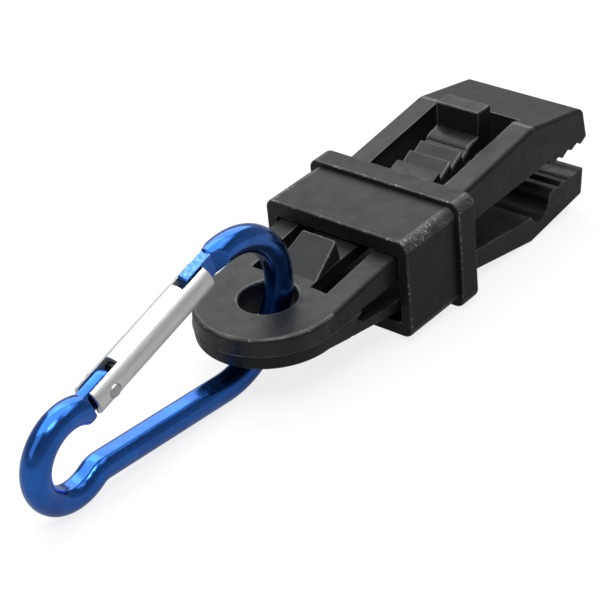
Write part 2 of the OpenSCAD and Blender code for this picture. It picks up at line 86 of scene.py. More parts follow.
class Body(Enum):
    """The moving bodies of the frame."""

    CLIP = "clip"
    JAW = "jaw"
    TONGUE = "tongue"
    COLLAR = "collar"
    HOOK = "hook"
    GATE = "gate"


class Slot(Enum):
    """The material slots of the record, named for each new piece but not given to it."""

    PLASTIC = "body_plastic"
    COLLAR = "collar_plastic"
    ANODISED = "anodised_bar"
    ALUMINIUM = "bare_aluminium"
    RIVET = "rivet_metal"


class Cut(Enum):
    """The ways in which a tool shape acts on a piece."""

    TAKE = "DIFFERENCE"
    JOIN = "UNION"
    KEEP = "INTERSECT"


# Hand tools of the modelling bench


def pick(piece: Piece) -> None:
    """Makes a piece the active one and the only selected one.

    Args:
        piece: The piece to work on.
    """
    for other in bpy.context.view_layer.objects:
        other.select_set(other == piece)
    bpy.context.view_layer.objects.active = piece


@contextmanager
def editing(piece: Piece, mode: str = "EDGE") -> Iterator[None]:
    """Opens a piece in edit mode with nothing selected.

    Args:
        piece: The piece to open.
        mode: What is selected in it: VERT, EDGE or FACE.

    Returns:
        A context without a value, in which the piece is open.
    """
    pick(piece)
    kinds = ("VERT", "EDGE", "FACE")
    bpy.context.tool_settings.mesh_select_mode = tuple(kind == mode for kind in kinds)
    bpy.ops.object.mode_set(mode="EDIT")
    select_all(False)
    yield
    bpy.ops.object.mode_set(mode="OBJECT")


def select_all(wanted: bool = True) -> None:
    """Selects all of the open piece, or nothing of it."""
    bpy.ops.mesh.select_all(action="SELECT" if wanted else "DESELECT")


def select(piece: Piece, kind: str, wanted: Callable) -> int:
    """Selects some parts of an open piece and nothing else.

    Args:
        piece: The piece, open in edit mode.
        kind: Which of its parts are meant: verts, edges or faces.
        wanted: Says whether one of them is wanted.

    Returns:
        How many are selected.
    """
    select_all(False)
    shape = bmesh.from_edit_mesh(piece.data)
    found = [part for part in getattr(shape, kind) if wanted(part)]
    for part in found:
        part.select_set(True)
    shape.select_flush_mode()
    bmesh.update_edit_mesh(piece.data)
    return len(found)


def select_points(piece: Piece, where: Test) -> None:
    """Selects nothing but the points of an open piece that lie at a place."""
    select(piece, "verts", lambda vert: where(vert.co))


def slice_all(at: Point, facing: Point, **options: bool) -> None:
    """Cuts all of the open piece along a plane."""
    select_all()
    bpy.ops.mesh.bisect(plane_co=at, plane_no=facing, **options)


def extrude(way: Point) -> None:
    """Extrudes what is selected along a way."""
    bpy.ops.mesh.extrude_region_move(TRANSFORM_OT_translate={"value": way})


def place_at(piece: Piece, place: Matrix) -> Piece:
    """Moves a piece and puts its place into its mesh.

    Args:
        piece: The piece to move.
        place: Where it goes.

    Returns:
        The same piece, with its object at the origin.
    """
    pick(piece)
    piece.matrix_world = place @ piece.matrix_world
    bpy.ops.object.transform_apply(location=True, rotation=True, scale=True)
    return piece


def added(name: str) -> Piece:
    """Names the shape that was added last and puts its place into its mesh.

    Args:
        name: The piece's name.

    Returns:
        The piece.
    """
    piece = bpy.context.object
    piece.name = piece.data.name = name
    return place_at(piece, Matrix.Identity(4))


def new_block(name: str, low: Point, high: Point) -> Piece:
    """Adds a block from its lowest corner to its highest one.

    Args:
        name: The piece's name.
        low: Its lowest corner.
        high: Its highest corner.

    Returns:
        The block.
    """
    start, end = Vector(low), Vector(high)
    bpy.ops.mesh.primitive_cube_add(size=1, location=(start + end) / 2, scale=end - start)
    return added(name)


def new_rod(name: str, radius: float, start: Point, end: Point, sides: int = 96) -> Piece:
    """Adds a rod between two points.

    Args:
        name: The piece's name.
        radius: Its radius.
        start: The middle of its first end.
        end: The middle of its last end.
        sides: How many sides it has.

    Returns:
        The rod.
    """
    axis = Vector(end) - Vector(start)
    bpy.ops.mesh.primitive_cylinder_add(
        vertices=sides, radius=radius, depth=axis.length,
        location=(Vector(start) + Vector(end)) / 2,
        rotation=axis.to_track_quat("Z", "Y").to_euler())
    return added(name)


def cross_rod(name: str, radius: float, at: Pair, half: float, sides: int = 96) -> Piece:
    """Adds a rod that lies across the clip, with its middle at an x and a z."""
    return new_rod(name, radius, (at[0], -half, at[1]), (at[0], half, at[1]), sides)


@dataclass(frozen=True)
class Station:
    """One cut through a bar, seen from its side: x and z of its top and of its underside."""

    top: Pair
    low: Pair


def height_on(line: Sequence[Pair], x: float) -> float:
    """Reads the height of a broken line at a place.

    Args:
        line: The line's corners, with x rising.
        x: The place.

    Returns:
        The height there.
    """
    for (x_0, z_0), (x_1, z_1) in zip(line, line[1:]):
        if x <= x_1:
            return z_0 + (z_1 - z_0) * (x - x_0) / (x_1 - x_0)
    return line[-1][1]


def cuts(tops: Sequence[Pair], lows: Sequence[Pair]) -> list[Station]:
    """Lists the cuts through a bar whose top and underside are broken lines.

    Args:
        tops: The corners of its top, with x rising.
        lows: The corners of its underside, from the same x.

    Returns:
        A station at each corner. The last one may lean.
    """
    inner = sorted({round(x, 4) for x, _ in (*tops[:-1], *lows[:-1])})
    rows = [Station((x, height_on(tops, x)), (x, height_on(lows, x))) for x in inner]
    return rows + [Station(tops[-1], lows[-1])]


def teeth(start: Pair, end_x: float, heights: Sequence[float]) -> list[Pair]:
    """Lists the corners of a row of teeth after its first one.

    Args:
        start: The row's first corner.
        end_x: Where the row ends.
        heights: How far each crest stands off, below zero for teeth that point down.

    Returns:
        The corners.
    """
    pitch, crest_share = (end_x - start[0]) / len(heights), 0.4
    row = []
    for index, height in enumerate(heights):
        row += [(start[0] + pitch * (index + crest_share), start[1] + height),
                (start[0] + pitch * (index + 1), start[1])]
    return row


def round_start(centre: Pair, radius: float, steps: int = 8) -> list[Station]:
    """Lists the cuts through the round end at the start of a bar.

    Args:
        centre: x and z of the round end's middle.
        radius: Its radius.
        steps: How many cuts it has.

    Returns:
        The stations, up to the one before the round end's middle.
    """
    rows = []
    for step in range(steps):
        turn = math.pi / 2 * (step + 0.25) / steps
        x, rise = centre[0] - radius * math.cos(turn), radius * math.sin(turn)
        rows.append(Station((x, centre[1] + rise), (x, centre[1] - rise)))
    return rows


def new_bar(name: str, stations: Sequence[Station], half_width: float) -> Piece:
    """Shapes a block into a bar that follows a row of stations.

    Args:
        name: The piece's name.
        stations: The cuts through the bar, from end to end.
        half_width: Half of the bar's width across the clip.

    Returns:
        The bar.
    """
    first, last = stations[0].top[0], stations[-1].top[0]
    piece = new_block(name, (first, -half_width, -1), (last, half_width, 1))
    step = (last - first) / (len(stations) - 1)
    places = [first + index * step for index in range(len(stations))]
    with editing(piece, "VERT"):
        for x in places[1:-1]:
            slice_all((x, 0, 0), (1, 0, 0))
        before = [vert.co.copy() for vert in bmesh.from_edit_mesh(piece.data).verts]
        for x, station in zip(places, stations):
            for high, goal in ((1, station.top), (-1, station.low)):
                select_all(False)
                shape = bmesh.from_edit_mesh(piece.data)
                for vert, at in zip(shape.verts, before):
                    vert.select_set(abs(at.x - x) < step / 4 and at.z * high > 0)
                bmesh.update_edit_mesh(piece.data)
                bpy.ops.transform.translate(value=(goal[0] - x, 0, goal[1] - high))
    return piece


def carve(piece: Piece, tool: Piece, way: Cut = Cut.TAKE) -> None:
    """Works one shape on another and throws the tool away.

    Args:
        piece: The piece that is worked on.
        tool: The shape that works on it.
        way: How it acts.
    """
    pick(piece)
    modifier = piece.modifiers.new("carve", "BOOLEAN")
    modifier.operation = way.value
    modifier.solver = "EXACT"
    modifier.object = tool
    bpy.ops.object.modifier_apply(modifier=modifier.name)
    bpy.data.objects.remove(tool)


def clean(piece: Piece) -> None:
    """Merges doubled points and flat neighbours.

    Args:
        piece: The piece to clean.
    """
    with editing(piece):
        select_all()
        bpy.ops.mesh.remove_doubles(threshold=TINY / 2)
        bpy.ops.mesh.dissolve_limited(angle_limit=math.radians(0.2))


def round_edges(piece: Piece, width: float, where: Test, segments: int = 3, angle: float = 28,
                finish: int = WORN_AND_HIGHLIGHT) -> None:
    """Rounds the sharp edges of a piece at a place.

    Args:
        piece: The piece to round.
        width: The width of the rounding.
        where: Says whether an edge with its middle there is rounded.
        segments: How many faces the rounding has.
        angle: The least angle of an edge that is rounded, in degrees.
        finish: The number of the finish that the rounding takes; by default the lighter
        edge finish, partly real wear and partly a painted highlight along the edge.
    """
    with editing(piece):
        if select(piece, "edges", lambda edge: edge.calc_face_angle(0) >= math.radians(angle)
                  and where((edge.verts[0].co + edge.verts[1].co) / 2)):
            bpy.ops.mesh.bevel(offset=width, segments=segments, profile=0.5, affect="EDGES",
                               material=finish)


def repaint(piece: Piece, finish: int, where: Callable[[Vector, Vector], bool]) -> None:
    """Gives the faces at a place another of the piece's finishes.

    Args:
        piece: The piece.
        finish: The number of the finish.
        where: Says whether a face with its middle and normal there is meant.
    """
    with editing(piece, "FACE"):
        select(piece, "faces", lambda face: where(face.calc_center_median(), face.normal))
        piece.active_material_index = finish
        bpy.ops.object.material_slot_assign()


# Finishes


class Graph:
    """A material that is being wired."""

    def __init__(self, name: str) -> None:
        """Starts a material with one shader and its output.

        Args:
            name: The material's name.
        """
        self.material = bpy.data.materials.new(name)
        self.material.use_nodes = True
        self.tree = self.material.node_tree
        self.tree.nodes.clear()
        self.shader = self.add("BsdfPrincipled")
        self.output = self.add("OutputMaterial", {"Surface": self.shader.outputs[0]})
        self.place = self.add("TexCoord").outputs["Object"]

    def feed(self, socket: Socket, value: object) -> None:
        """Feeds an input from another node, or sets it to a number or a colour.

        Args:
            socket: The input.
            value: The other node's output, or the number or colour.
        """
        if isinstance(value, Socket):
            self.tree.links.new(value, socket)
        else:
            socket.default_value = (*value, 1) if socket.type == "RGBA" else value

    def add(self, kind: str, inputs: dict | None = None, **settings: object) -> bpy.types.Node:
        """Adds a node.

        Args:
            kind: The node's type, without its first word.
            inputs: What each input takes.
            settings: The node's own settings.

        Returns:
            The node.
        """
        node = self.tree.nodes.new("ShaderNode" + kind)
        for name, value in settings.items():
            setattr(node, name, value)
        for name, value in (inputs or {}).items():
            self.feed(node.inputs[name], value)
        return node

    def noise(self, scale: float, detail: float = 3, place: Socket | None = None,
              roughness: float = 0.55) -> Socket:
        """Adds a cloud pattern, with its clouds to a metre and its finer layers."""
        return self.add("TexNoise", {"Vector": place or self.place, "Scale": scale,
                                     "Detail": detail, "Roughness": roughness}).outputs["Fac"]

    def span(self, value: Socket, start: float, end: float, low: float = 0,
             high: float = 1) -> Socket:
        """Stretches a pattern's values from start to end over low to high, and holds them there."""
        return self.add("MapRange", {"Value": value, "From Min": start, "From Max": end,
                                     "To Min": low, "To Max": high}).outputs["Result"]

    def maths(self, operation: str, *values: object) -> Socket:
        """Works patterns and numbers into one by an operation, such as MULTIPLY."""
        return self.add("Math", dict(enumerate(values)), operation=operation).outputs[0]

    def blend(self, share: Socket, one: object, other: object) -> Socket:
        """Blends two colours by a pattern that says how much of the other one shows."""
        return self.add("Mix", {0: share, 6: one, 7: other}, data_type="RGBA").outputs[2]

    def bump(self, height: Socket, depth: float, under: Socket | None = None) -> Socket:
        """Turns a pattern into relief, its depth in metres, that may lie on another relief."""
        inputs = {"Height": height, "Distance": depth, "Strength": 1}
        return self.add("Bump", inputs | ({"Normal": under} if under else {})).outputs["Normal"]

    def wire(self, **inputs: object) -> bpy.types.Material:
        """Feeds the shader's inputs and gives the material back.

        Args:
            inputs: What each input takes, with its spaces as underscores.

        Returns:
            The material.
        """
        for name, value in inputs.items():
            self.feed(self.shader.inputs[name.replace("_", " ")], value)
        return self.material


@dataclass(frozen=True)
class MouldedPlastic:
    """A satin plastic: two greys that drift into each other, a fine grain and pale dust in it."""

    name: str
    dark: Colour
    light: Colour
    dust: Colour
    dust_from: float
    roughness: Pair
    shine: float
    grain: float

    def make(self) -> bpy.types.Material:
        """Wires the plastic.

        Returns:
            The material.
        """
        graph = Graph(self.name)
        drift = graph.span(graph.noise(160, 4), 0.35, 0.68)
        colour = graph.blend(drift, self.dark, self.light)
        speck = graph.span(graph.noise(2600, 2), self.dust_from, self.dust_from + 0.1)
        patch = graph.span(graph.noise(330, 3), 0.42, 0.62)
        colour = graph.blend(graph.maths("MULTIPLY", speck, patch), colour, self.dust)
        gloss = graph.span(graph.noise(420, 5), 0.3, 0.7, *self.roughness)
        waves = graph.bump(graph.noise(240, 2), 0.00008)
        relief = graph.bump(graph.noise(5200, 2), self.grain, waves)
        return graph.wire(Base_Color=colour, Roughness=gloss, Normal=relief,
                          Specular_IOR_Level=self.shine)


@dataclass(frozen=True)
class AnodisedBar:
    """A dyed, polished aluminium bar: deep colour, a fine grain and a clear, hard skin."""

    name: str
    deep: Colour
    bright: Colour
    roughness: Pair
    skin: float
    cloud: float = 210
    grain: float = 0.000006

    def make(self) -> bpy.types.Material:
        """Wires the dyed bar.

        Returns:
            The material.
        """
        graph = Graph(self.name)
        cloud = graph.span(graph.noise(self.cloud, 4), 0.3, 0.7)
        colour = graph.blend(cloud, self.deep, self.bright)
        gloss = graph.span(graph.noise(700, 4), 0.3, 0.7, *self.roughness)
        waves = graph.bump(graph.noise(300, 3), 0.00006)
        relief = graph.bump(graph.noise(2400, 3), self.grain, waves)
        return graph.wire(Base_Color=colour, Roughness=gloss, Normal=relief, Metallic=1,
                          Coat_Weight=self.skin, Coat_Roughness=0.12)


@dataclass(frozen=True)
class DrawnMetal:
    """A bare metal with fine streaks along the hook's own length."""

    name: str
    dark: Colour
    light: Colour
    roughness: Pair
    streaks: float = 0.000005

    def make(self) -> bpy.types.Material:
        """Wires the streaked metal.

        Returns:
            The material.
        """
        graph = Graph(self.name)
        axes = REST.hook().to_3x3().normalized().transposed().to_euler("XYZ")
        turned = graph.add("Mapping", {"Vector": graph.place, "Rotation": axes})
        drawn = graph.add("Mapping", {"Vector": turned.outputs[0], "Scale": (0.06, 1, 1)})
        lines = graph.noise(1900, 4, drawn.outputs[0], 0.7)
        share = graph.span(graph.maths("MULTIPLY", lines, graph.noise(260, 3)), 0.12, 0.42)
        gloss = graph.span(lines, 0.3, 0.7, *self.roughness)
        relief = graph.bump(graph.noise(900, 3), self.streaks * 2,
                            graph.bump(lines, self.streaks))
        return graph.wire(Base_Color=graph.blend(share, self.dark, self.light),
                          Roughness=gloss, Normal=relief, Metallic=1)


# How the object lies


@dataclass(frozen=True)
class Rest:
    """How the clip and its hook lie on the table, in millimetres and degrees."""

    tilt: float = 2.52884
    centre_x: float = 9.61403
    lift: float = 10.4399
    hook_at: Point = (-20.5496, -0.97, 16.4432)
    pitch: float = 18.8445
    lean: float = 3.29
    yaw: float = 0.72

    @staticmethod
    def turn(angle: float, axis: str) -> Matrix:
        """Turns by an angle in degrees about one of the three axes."""
        return Matrix.Rotation(math.radians(angle), 4, axis)

    def clip(self) -> Matrix:
        """The clip's place on the table, in metres."""
        return (Matrix.Scale(MM, 4) @ Matrix.Translation((-self.centre_x, 0, self.lift))
                @ self.turn(-self.tilt, "Y"))

    def hook(self) -> Matrix:
        """The hook's place on the table, in metres."""
        return (Matrix.Scale(MM, 4) @ Matrix.Translation(self.hook_at)
                @ self.turn(self.yaw, "Z") @ self.turn(self.lean, "X")
                @ self.turn(-self.pitch, "Y") @ self.turn(180, "Y") @ self.turn(90, "X"))


REST = Rest()

BODY_PLASTIC = MouldedPlastic("black_moulding", (0.009, 0.0096, 0.0094), (0.016, 0.0175, 0.0168),
                              (0.12, 0.125, 0.115), 0.68, (0.32, 0.5), 0.31, 0.000007)
# Lighter plastic for rounded edges, the seam and the eye's rim: partly real wear and dust, partly a
# painted highlight along the edges.
BODY_EDGE_WEAR_AND_HIGHLIGHT = MouldedPlastic("black_moulding_edge_wear_and_highlight", (0.018, 0.0195, 0.0185), (0.085, 0.09, 0.084),
                           (0.4, 0.4, 0.38), 0.6, (0.24, 0.42), 0.6, 0.000012)
BODY_RUBBED = MouldedPlastic("black_moulding_rubbed", (0.004, 0.0043, 0.0042),
                             (0.022, 0.0235, 0.0225), (0.14, 0.14, 0.13), 0.68, (0.14, 0.5), 0.5,
                             0.000005)
COLLAR_PLASTIC = MouldedPlastic("collar_moulding", (0.009, 0.0098, 0.0098), (0.015, 0.0165, 0.016),
                                (0.1, 0.105, 0.1), 0.7, (0.42, 0.56), 0.3, 0.00001)
# Lighter plastic for the collar's rounded edges: partly real wear, partly a painted highlight along
# the edges.
COLLAR_EDGE_WEAR_AND_HIGHLIGHT = MouldedPlastic("collar_moulding_edge_wear_and_highlight", (0.016, 0.0175, 0.017), (0.062, 0.066, 0.062),
                             (0.4, 0.41, 0.39), 0.56, (0.38, 0.55), 0.45, 0.000018)
BLUE = AnodisedBar("blue_anodised", (0.012, 0.112, 0.48), (0.022, 0.178, 0.72), (0.14, 0.26), 0.5)
# Light, rough blue for the milled top of the nose, and a painted highlight on the thin bevels along
# the milled edges.
BLUE_MILLED_AND_HIGHLIGHT = AnodisedBar("blue_anodised_milled_and_highlight", (0.02, 0.12, 0.5), (0.16, 0.4, 0.85),
                          (0.34, 0.5), 0.2, 1300, 0.00003)
ALUMINIUM = DrawnMetal("bright_tube", (0.84, 0.85, 0.84), (0.97, 0.97, 0.96), (0.4, 0.56))
RIVET_METAL = DrawnMetal("rivet_metal", (0.6, 0.61, 0.6), (0.86, 0.86, 0.85), (0.22, 0.38))
SPRING_WIRE = DrawnMetal("spring_wire", (0.3, 0.3, 0.31), (0.5, 0.5, 0.51), (0.3, 0.45), 0.000004)
# Painted shade: the plunger is near-black steel, standing for the shade inside the gate's tube.
PLUNGER_PAINTED_SHADE = DrawnMetal("plunger_steel_painted_shade", (0.03, 0.028, 0.026), (0.09, 0.085, 0.08), (0.4, 0.6),
                         0.000006)


def dress(piece: Piece, *finishes: object) -> None:
    """Gives a piece its finishes, in the order of their numbers.

    Args:
        piece: The piece to dress.
        finishes: The plain finish, then the lighter one for worn or milled faces and painted
        edge highlights, and the rubbed one.
    """
    piece.data.materials.clear()
    for finish in finishes:
        made = bpy.data.materials.get(finish.name) or finish.make()
        piece.data.materials.append(made)


def finish_piece(piece: Piece, place: Matrix, body: Body, slot: Slot, *nodes: str,
                 smooth: float = 32) -> Piece:
    """Smooths a piece, lays it in its place and lets it move with its body.

    Args:
        piece: The finished shape.
        place: Its place on the table.
        body: The body that it rides on.
        slot: The record's slot for its finish; not used.
        nodes: The solids that it stands for.
        smooth: The largest angle, in degrees, that still looks round.

    Returns:
        The piece.
    """
    place_at(piece, place)
    bpy.ops.object.shade_smooth_by_angle(angle=math.radians(smooth))
    weighted = piece.modifiers.new("weighted", "WEIGHTED_NORMAL")
    weighted.keep_sharp = True
    weighted.weight = 80
    bpy.ops.object.modifier_apply(modifier=weighted.name)
    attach(piece, body.value)
    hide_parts(*nodes)
    return piece


# The clip


@dataclass
class ClipBody:
    """The eye, the two rails of the upper arm and the upper jaw, in one moulding."""

    half_width: float = 13.1
    plan_length: float = 90.0
    hole_radius: float = 5.1
    eye_top: float = 3.4
    eye_low: float = -2.8
    belly: Pair = (5.51, -3.8)
    rise_x: float = 1.94
    rail_rise: float = 0.118535
    brow_x: float = 61.8
    tip_top: Pair = (77.9, 7.136)
    tip_low: Pair = (79.05, 0.636)
    knuckle: Pair = (6.9, -2.6)
    knuckle_radius: float = 1.35
    slot_root: Pair = (8.91, 0.5)
    slot_end: Pair = (66.55, 1.25)
    tooth_heights: tuple[float, ...] = (0.72, 0.9, 0.675, 0.81)
    window_half: float = 8.35
    window: Pair = (5.75, 63.6)
    tab_half: float = 4.7
    tab_end: float = 7.0
    tab_low: float = -2.5
    pin: Pair = (7.0, 2.9)
    pin_radius: float = 1.1
    low_round: float = 0.75
    hole_round: float = 0.5
    rim_round: float = 0.95
    window_round: float = 0.2
    slot_round: float = 0.12
    seam_height: float = 0.05
    seam_draft: float = 0.18
    seam_ridge: float = 0.06
    rubbed: Pair = (0.13, 2.8)

    def rail_top(self, x: float) -> float:
        """The height of the rails' top at a place along the clip."""
        return self.eye_top + max(0.0, x - self.rise_x) * self.rail_rise

    def outline(self) -> list[Station]:
        """Lists the cuts through the moulding, from the eye to the tip.

        Returns:
            The stations of its side outline.
        """
        x, z = self.knuckle
        start, base = self.slot_end[0] + TINY, self.tip_low[1]
        tops = [(-self.half_width, self.eye_top), (self.rise_x, self.eye_top),
                (self.brow_x, self.rail_top(self.brow_x)), self.tip_top]
        lows = [(-self.half_width, self.eye_low), (0.0, self.eye_low), self.belly,
                (x, self.belly[1]), (x + TINY, z + self.knuckle_radius), self.slot_root,
                self.slot_end, (start, base)]
        lows += teeth((start, base), self.tip_low[0], [-height for height in self.tooth_heights])
        return cuts(tops, lows)

    def reach(self, at: Vector) -> float:
        """How far a point lies from the eye's axis, or beyond it from the clip's middle plane."""
        return math.hypot(min(at.x, 0), at.y)

    def on_wall(self, at: Vector) -> bool:
        """Says whether a point lies on the outer wall or outside it."""
        return self.reach(at) > self.half_width - 0.05

    def on_eye(self, at: Vector) -> bool:
        """Says whether a point lies on the outer wall of the eye."""
        return abs(self.reach(at) - self.half_width) < 0.3 and at.x < self.slot_root[0] + 0.5

    def on_top(self, at: Vector) -> bool:
        """Says whether a point lies on top of the rails or on the nose before them."""
        return at.x > self.brow_x or at.z > self.rail_top(at.x) - NEAR

    def in_hole(self, at: Vector) -> bool:
        """Says whether a point lies on the wall of the eye hole."""
        return math.hypot(at.x, at.y) < self.hole_radius + 0.2

    def at_tab(self, at: Vector) -> bool:
        """Says whether a point lies where the tongue leaves the eye."""
        return abs(at.y) < self.tab_half + NEAR and at.x < self.tab_end + NEAR

    def plan(self) -> Piece:
        """Shapes the prism that has the moulding's outline from above.

        Returns:
            The prism.
        """
        plan = new_rod("plan", self.half_width, (0, 0, BELOW), (0, 0, ABOVE), 144)
        with editing(plan, "VERT"):
            slice_all((0, 0, 0), (1, 0, 0), clear_outer=True, use_fill=True)
            select_points(plan, lambda at: abs(at.x) < TINY / 10)
            extrude((self.plan_length, 0, 0))
        return plan

    def build(self) -> Piece:
        """Models the moulding.

        Returns:
            The piece.
        """
        wide, side = self.half_width, self.window_half
        piece = new_bar("clip_moulding", self.outline(), wide + 1)
        carve(piece, self.plan(), Cut.KEEP)
        dress(piece, BODY_PLASTIC, BODY_EDGE_WEAR_AND_HIGHLIGHT, BODY_RUBBED)
        clean(piece)
        round_edges(piece, self.low_round, lambda at: self.on_wall(at)
                    and at.z < self.eye_low + 0.8
                    and at.x < self.knuckle[0] - NEAR, 5, SHARP, PLAIN)
        carve(piece, new_rod("hole", self.hole_radius, (0, 0, BELOW), (0, 0, -BELOW)))
        root, end = self.window
        window = new_block("window", (self.tab_end, -side, self.tab_low), (end, side, ABOVE))
        for low, high in ((-side, -self.tab_half), (self.tab_half, side)):
            carve(window, new_block("notch", (root, low, BELOW), (self.tab_end + 1, high, ABOVE)),
                  Cut.JOIN)
        carve(piece, window)
        carve(piece, cross_rod("seat", self.knuckle_radius, self.knuckle, wide + 1))
        carve(piece, cross_rod("pin_seat", self.pin_radius, self.pin, self.tab_half + TINY / 2, 64))
        clean(piece)
        self.soften(piece)
        self.raise_seam(piece)
        repaint(piece, RUBBED, lambda at, _: self.on_eye(at)
                and self.rubbed[0] < at.z < self.rubbed[1])
        # Painted highlight: the seam band and the top rounding of the eye's rim take the lighter
        # edge finish, which shows as a bright line and a bright band.
        repaint(piece, WORN_AND_HIGHLIGHT, lambda at, facing: self.on_eye(at)
                and abs(at.z - self.seam_height) < 0.08
                or (at.x < self.tab_end and at.z > self.eye_top - 0.4
                    and self.reach(at) > wide - self.rim_round and 0.15 < facing.z < 0.98))
        return finish_piece(piece, REST.clip(), Body.CLIP, Slot.PLASTIC, "clip_body")

    def soften(self, piece: Piece) -> None:
        """Rounds the moulding's edges, each by its own measure.

        Args:
            piece: The moulding.
        """
        tip, tip_z = self.tip_top
        root, end = self.window
        round_edges(piece, self.low_round, lambda at: self.in_hole(at) and at.z < 0, 4,
                    finish=PLAIN)
        round_edges(piece, self.hole_round, lambda at: self.in_hole(at) and at.z > 0, 4)
        round_edges(piece, self.rim_round, lambda at: at.z > self.eye_top - 0.4 and (
            (self.on_wall(at) and self.on_top(at) and at.x < tip - NEAR)
            or (at.x > tip - 0.4 and at.z > tip_z - 0.2)), 6, finish=PLAIN)
        round_edges(piece, self.hole_round, lambda at: abs(at.x - self.brow_x) < NEAR
                    and at.z > tip_z + 1.9, 5, 8)
        round_edges(piece, self.window_round, lambda at: abs(at.y) < self.window_half + 0.25
                    and root - 0.75 < at.x < end + 0.4 and self.on_top(at)
                    and not self.at_tab(at) and abs(at.x - self.brow_x) >= 0.6, 3, SHARP)
        round_edges(piece, self.slot_round, lambda at: self.on_wall(at)
                    and at.z < self.slot_end[1] + 0.75 and at.x > self.slot_root[0] - 0.01, 2, 20)

    def raise_seam(self, piece: Piece) -> None:
        """Leans the eye's wall back from the mould seam and draws the seam's thin ridge.

        Args:
            piece: The moulding.
        """
        height, ridge = self.seam_height, self.seam_ridge
        for levels, out in (((0,), self.seam_draft), ((-1.5, 1.5), ridge)):
            with editing(piece, "VERT"):
                for level in levels:
                    slice_all((0, 0, height + level * ridge), (0, 0, 1))
                select_points(piece, lambda at: abs(at.z - height) < TINY / 10
                              and self.on_eye(at))
                bpy.ops.transform.shrink_fatten(value=out)


@dataclass
class LowerJaw:
    """The lower arm with its cord groove and its teeth."""

    half_width: float = 13.1
    knuckle: Pair = (6.9, -2.6)
    knuckle_radius: float = 1.35
    root: Pair = (9.48, -2.5)
    bend_top: Pair = (41.5, -5.35)
    bend_low: Pair = (41.5, -9.6)
    groove: Pair = (62.9, -6.6)
    groove_radius: float = 2.95
    row: Pair = (66.59, -5.714)
    tip: Pair = (77.9, -5.714)
    tip_low: Pair = (77.1, -11.16)
    heel: Pair = (60.0, -13.1)
    tooth_heights: tuple[float, ...] = (0.4, 0.5, 0.375, 0.45)
    low_round: float = 0.7
    tip_round: float = 0.35
    slot_round: float = 0.15

    def outline(self) -> list[Station]:
        """Lists the cuts through the arm, from its root to its tip.

        Returns:
            The stations of its side outline.
        """
        x, z = self.knuckle
        mouth = self.groove[1] - 0.4 * self.groove_radius
        wall = self.groove[0] + self.groove_radius
        tops = [(x, z + self.knuckle_radius), self.root, self.bend_top,
                (self.groove[0] - self.groove_radius, mouth), (wall, mouth),
                (wall + TINY, self.groove[1]), self.row]
        tops += teeth(self.row, self.tip[0], self.tooth_heights)
        lows = [(x, z - self.knuckle_radius), self.bend_low, self.heel, self.tip_low]
        return round_start(self.knuckle, self.knuckle_radius) + cuts(tops, lows)

    def build(self) -> Piece:
        """Models the lower arm.

        Returns:
            The piece.
        """
        wide = self.half_width
        under = [(self.knuckle[0], self.knuckle[1] - self.knuckle_radius), self.bend_low, self.heel]
        piece = new_bar("lower_jaw_moulding", self.outline(), wide)
        dress(piece, BODY_PLASTIC, BODY_EDGE_WEAR_AND_HIGHLIGHT)
        carve(piece, cross_rod("groove", self.groove_radius + 2 * TINY, self.groove, wide + 1, 64))
        clean(piece)
        round_edges(piece, self.low_round, lambda at: at.z < self.knuckle[1] - 0.7
                    and abs(at.y) > wide - NEAR
                    and at.z < height_on(under, min(at.x, self.heel[0] - NEAR)) + 2.1, 5, 20, PLAIN)
        round_edges(piece, self.tip_round, lambda at: at.x > self.tip_low[0] - 0.2
                    and at.z < self.tip[1] - 0.5, 3)
        round_edges(piece, self.slot_round, lambda at: at.x > self.root[0] + NEAR
                    and abs(at.y) > wide - TINY and at.z > self.bend_low[1] + 0.6, 2)
        return finish_piece(piece, REST.clip(), Body.JAW, Slot.PLASTIC, "lower_jaw")


